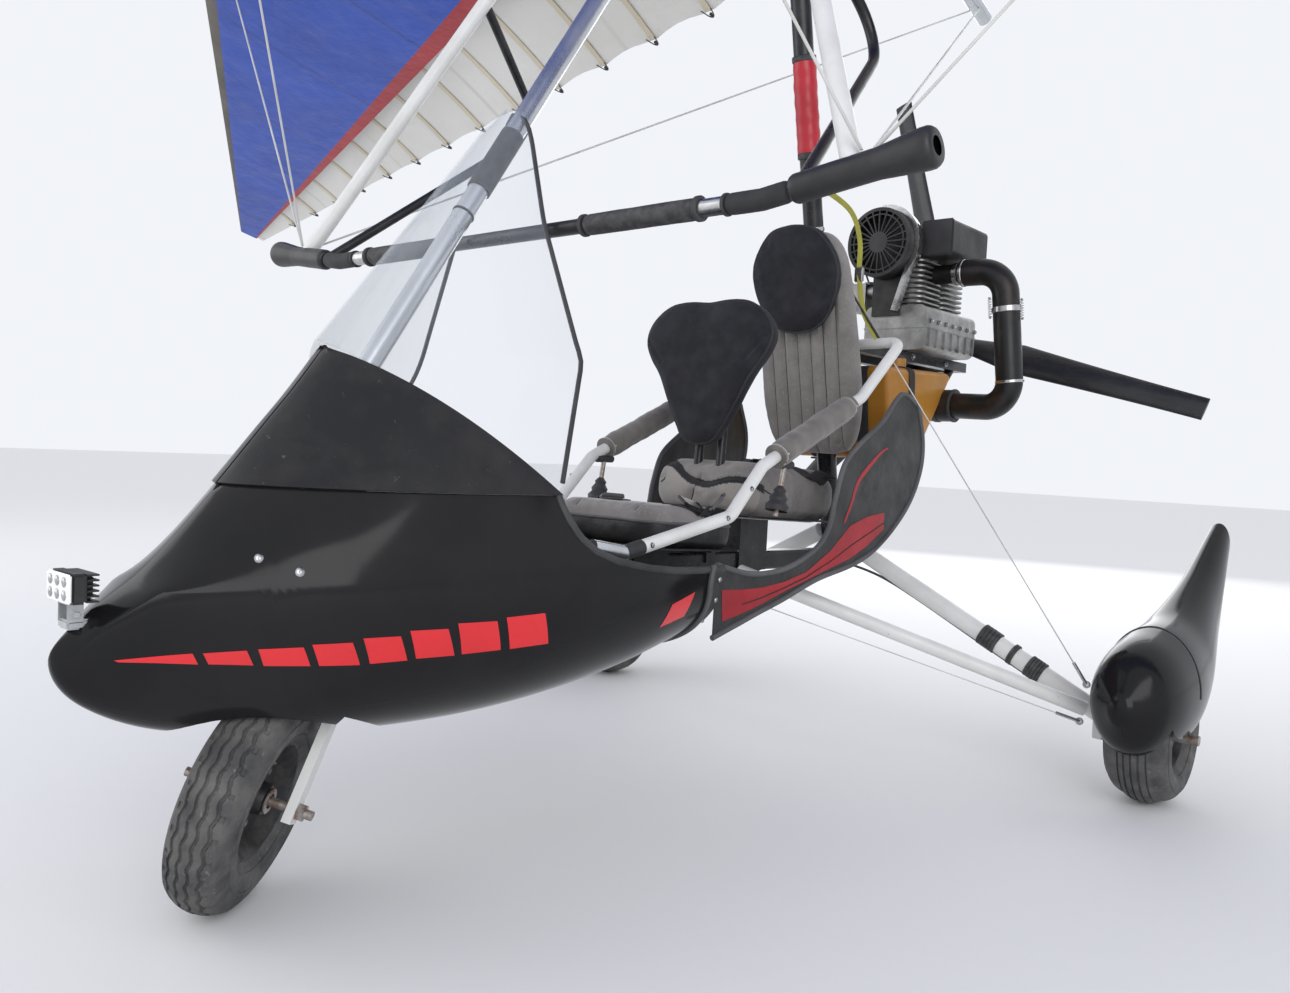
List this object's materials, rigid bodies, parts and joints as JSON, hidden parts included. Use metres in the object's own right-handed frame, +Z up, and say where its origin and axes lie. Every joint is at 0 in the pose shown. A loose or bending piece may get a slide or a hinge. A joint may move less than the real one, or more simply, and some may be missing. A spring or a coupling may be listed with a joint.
{
  "type": "weight-shift microlight aircraft",
  "caption": "Two-seat weight-shift microlight: a faired tricycle pod with a pusher propeller, hung under a tilting flexible wing.",
  "frame": {"origin": "on the ground, on the centre plane, under the middle of the aircraft's box", "axes": "+Z up, +X to port, +Y aft, so the nose points along -Y"},
  "size_m": [9.98, 3.1863, 3.6196],
  "materials": {
    "black_gloss": "glossy black glass-fibre",
    "black_satin": "satin black panel",
    "clear_screen": "clear polycarbonate",
    "black_tube": "black anodised tube",
    "white_tube": "white painted tube",
    "silver_tube": "anodised tube",
    "steel": "plain steel",
    "rubber": "dusty tyre rubber",
    "rim_paint": "dark wheel rim",
    "guard_red": "dark red flap",
    "grey_cloth": "grey seat cloth",
    "black_cloth": "black seat and side cloth",
    "foam": "grey foam sleeve",
    "amber_tank": "translucent amber tank",
    "engine_metal": "cast aluminium",
    "exhaust_black": "heat-proof black",
    "blade_black": "carbon-filled blade",
    "sail_cloth": "blue, red and cream sailcloth",
    "wire": "plastic-coated stay"
  },
  "bodies": {
    "trike": {"keel_beam": "black_tube", "mast": "black_tube", "front_strut": "silver_tube", "roll_bolt": "steel", "pod_hull": "black_gloss", "nose_cowl": "black_satin", "windscreen": "clear_screen", "nose_lamp": "black_satin", "seat_rails": "white_tube", "arm_pads": "foam", "front_cushion": "grey_cloth", "rear_cushion": "grey_cloth", "front_backrest": "black_cloth", "rear_backrest": "grey_cloth", "side_cloths": "black_cloth", "fuel_tank": "amber_tank", "engine_mount": "black_tube", "seat_frame": "black_tube", "tank_straps": "black_cloth", "engine_block": "engine_metal", "fan_housing": "black_satin", "cylinder_shroud": "black_satin", "gearbox": "engine_metal", "exhaust_pipe": "exhaust_black", "muffler": "exhaust_black", "carburettors": "engine_metal", "gear_legs": "white_tube", "drag_tubes": "white_tube", "stub_axles": "steel", "wheel_spats": "black_gloss"},
    "steering": {"front_fork": "white_tube", "front_axle": "steel", "mudguard": "guard_red"},
    "front_wheel": {"front_rim": "rim_paint", "front_tyre": "rubber"},
    "port_wheel": {"port_rim": "rim_paint", "port_tyre": "rubber"},
    "starboard_wheel": {"starboard_rim": "rim_paint", "starboard_tyre": "rubber"},
    "propeller": {"propeller": "blade_black"},
    "hang_block": {"hang_block": "silver_tube"},
    "wing": {"hang_bracket": "silver_tube", "wing_keel": "silver_tube", "sail": "sail_cloth", "base_bar": "black_tube", "downtubes": "white_tube", "training_bars": "black_tube", "corner_sleeves": "foam", "bar_grips": "black_cloth", "kingpost": "silver_tube", "lower_stays": "wire", "upper_stays": "wire"}
  },
  "joints": [
    {"name": "nose_steer", "type": "hinge", "parent": "trike", "child": "steering", "pos_m": [0, -1.12, 0.18904], "axis": [0, 0.4226, 0.9063], "range_deg": [-80, 0]},
    {"name": "front_wheel_spin", "type": "hinge", "parent": "steering", "child": "front_wheel", "pos_m": [0, -1.12, 0.18904], "axis": [0.766, 0.5826, -0.2717], "continuous": true},
    {"name": "port_wheel_spin", "type": "hinge", "parent": "trike", "child": "port_wheel", "pos_m": [0.888, 0.705, 0.168], "axis": [1, 0, 0], "continuous": true},
    {"name": "starboard_wheel_spin", "type": "hinge", "parent": "trike", "child": "starboard_wheel", "pos_m": [-0.888, 0.705, 0.168], "axis": [1, 0, 0], "continuous": true},
    {"name": "propeller_spin", "type": "hinge", "parent": "trike", "child": "propeller", "pos_m": [0, 1.33, 1.2], "axis": [0, 1, 0], "continuous": true},
    {"name": "wing_roll", "type": "hinge", "parent": "trike", "child": "hang_block", "pos_m": [0, 0.264, 2.47], "axis": [0, 1, 0], "range_deg": [-20, 20]},
    {"name": "wing_pitch", "type": "hinge", "parent": "hang_block", "child": "wing", "pos_m": [0, 0.264, 2.553], "axis": [1, 0, 0], "range_deg": [0, 16]}
  ]
}
